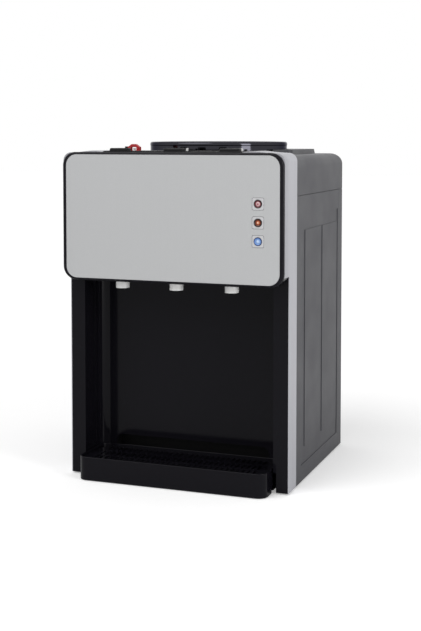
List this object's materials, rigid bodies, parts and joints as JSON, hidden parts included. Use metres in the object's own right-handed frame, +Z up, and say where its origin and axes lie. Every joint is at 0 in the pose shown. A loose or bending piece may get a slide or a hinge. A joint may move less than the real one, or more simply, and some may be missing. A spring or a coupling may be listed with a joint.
{
  "type": "tabletop water dispenser",
  "caption": "Tabletop water dispenser with press-key taps, indicator lamps, lift-out drip tray and a collar for an upturned bottle.",
  "frame": {"origin": "on the table, under the middle of the whole footprint from the tray's front edge to the back", "axes": "+Z up, -Y towards the user in front of the taps, +X to the user's right"},
  "size_m": [0.31, 0.3056, 0.455],
  "materials": {
    "silver_shell": "fine metallic paint, satin",
    "gloss_black": "high gloss",
    "grey_shell": "satin",
    "black_plastic": "fine texture",
    "white_plastic": "smooth",
    "key_black": "gloss",
    "red_plastic": "gloss",
    "lamp_plate": "satin",
    "lamp_ring": "gloss",
    "lens_red": "clear dome",
    "lens_orange": "clear dome",
    "lens_blue": "clear dome",
    "circuit_board": "solder mask",
    "stainless": "brushed",
    "shelf_plastic": "plain moulded",
    "aluminium": "as extruded",
    "foam": "expanded foam",
    "silicone": "translucent",
    "foot_rubber": "matte"
  },
  "bodies": {
    "housing": {"base_pan": "black_plastic", "body_screws": "stainless", "bottle_collar": "gloss_black", "cold_tank": "stainless", "cold_tank_foam": "foam", "cooling_module": "aluminium", "dispensing_bay": "gloss_black", "fan_frame": "black_plastic", "feed_tube": "stainless", "feet": "foot_rubber", "front_frame": "silver_shell", "heat_sink": "aluminium", "heater_band": "aluminium", "hose_ambient_tap": "silicone", "hose_cold_tap": "silicone", "hose_hot_feed": "silicone", "hose_hot_tap": "silicone", "hot_tank": "stainless", "key_deck": "gloss_black", "key_pins": "stainless", "lamp_board": "circuit_board", "lamp_frames": "lamp_plate", "lamp_lens_cooling": "lens_blue", "lamp_lens_heating": "lens_orange", "lamp_lens_power": "lens_red", "lamp_rings": "lamp_ring", "neck_gasket": "silicone", "panel_bezel": "gloss_black", "panel_face": "silver_shell", "power_board": "circuit_board", "power_inlet": "black_plastic", "rear_shell": "grey_shell", "side_panel_left": "grey_shell", "side_panel_right": "grey_shell", "switch_frames": "black_plastic", "tank_shelf": "shelf_plastic", "tap_body_ambient": "white_plastic", "tap_body_cold": "white_plastic", "tap_body_hot": "white_plastic", "tap_caps": "white_plastic", "tap_nuts": "white_plastic", "tap_spring_ambient": "stainless", "tap_spring_cold": "stainless", "tap_spring_hot": "stainless", "thermostats": "black_plastic", "top_cover": "grey_shell"},
    "tray": {"drip_tray": "gloss_black"},
    "grille": {"drip_grille": "gloss_black"},
    "key_hot": {"tap_key_hot": "key_black"},
    "key_ambient": {"tap_key_ambient": "key_black"},
    "key_cold": {"tap_key_cold": "key_black"},
    "stem_hot": {"tap_stem_hot": "white_plastic"},
    "stem_ambient": {"tap_stem_ambient": "white_plastic"},
    "stem_cold": {"tap_stem_cold": "white_plastic"},
    "lock": {"child_lock": "red_plastic"},
    "fan": {"fan_rotor": "black_plastic"},
    "switch_heating": {"rocker_heating": "gloss_black"},
    "switch_cooling": {"rocker_cooling": "gloss_black"},
    "funnel": {"bottle_funnel": "black_plastic"},
    "cap": {"drain_cap": "black_plastic"}
  },
  "joints": [
    {"name": "tray_slide", "type": "slide", "parent": "housing", "child": "tray", "axis": [0, -1, 0], "range_m": [0, 0.09]},
    {"name": "grille_lift", "type": "slide", "parent": "tray", "child": "grille", "axis": [0, 0, 1], "range_m": [0, 0.03]},
    {"name": "key_hot_press", "type": "hinge", "parent": "housing", "child": "key_hot", "pos_m": [-0.0775, -0.10325, 0.434], "axis": [1, 0, 0], "range_deg": [0, 7], "stiffness_Nm_per_rad": 0.7, "springref_deg": -4.01},
    {"name": "stem_hot_lift", "type": "slide", "parent": "housing", "child": "stem_hot", "axis": [0, 0, 1], "range_m": [0, 0.0035], "deforming": ["tap_spring_hot"]},
    {"name": "key_ambient_press", "type": "hinge", "parent": "housing", "child": "key_ambient", "pos_m": [0, -0.10325, 0.434], "axis": [1, 0, 0], "range_deg": [0, 7], "stiffness_Nm_per_rad": 0.7, "springref_deg": -4.01},
    {"name": "stem_ambient_lift", "type": "slide", "parent": "housing", "child": "stem_ambient", "axis": [0, 0, 1], "range_m": [0, 0.0035], "deforming": ["tap_spring_ambient"]},
    {"name": "key_cold_press", "type": "hinge", "parent": "housing", "child": "key_cold", "pos_m": [0.0775, -0.10325, 0.434], "axis": [1, 0, 0], "range_deg": [0, 7], "stiffness_Nm_per_rad": 0.7, "springref_deg": -4.01},
    {"name": "stem_cold_lift", "type": "slide", "parent": "housing", "child": "stem_cold", "axis": [0, 0, 1], "range_m": [0, 0.0035], "deforming": ["tap_spring_cold"]},
    {"name": "lock_release", "type": "slide", "parent": "key_hot", "child": "lock", "axis": [0, -1, 0], "range_m": [0, 0.004], "stiffness_N_per_m": 200, "springref_m": -0.002},
    {"name": "fan_spin", "type": "hinge", "parent": "housing", "child": "fan", "pos_m": [0, 0.1361, 0.318], "axis": [0, 1, 0], "continuous": true},
    {"name": "switch_heating_rock", "type": "hinge", "parent": "housing", "child": "switch_heating", "pos_m": [0.092, 0.14575, 0.215], "axis": [1, 0, 0], "range_deg": [0, 16]},
    {"name": "switch_cooling_rock", "type": "hinge", "parent": "housing", "child": "switch_cooling", "pos_m": [0.118, 0.14575, 0.215], "axis": [1, 0, 0], "range_deg": [0, 16]},
    {"name": "funnel_lift", "type": "slide", "parent": "housing", "child": "funnel", "axis": [0, 0, 1], "range_m": [0, 0.08]},
    {"name": "cap_pull", "type": "slide", "parent": "housing", "child": "cap", "axis": [0, 1, 0], "range_m": [0, 0.02]}
  ],
  "couplings": [
    {"joint": "stem_hot_lift", "follows": "key_hot_press", "m_per_rad": 0.02},
    {"joint": "stem_ambient_lift", "follows": "key_ambient_press", "m_per_rad": 0.02},
    {"joint": "stem_cold_lift", "follows": "key_cold_press", "m_per_rad": 0.02}
  ]
}
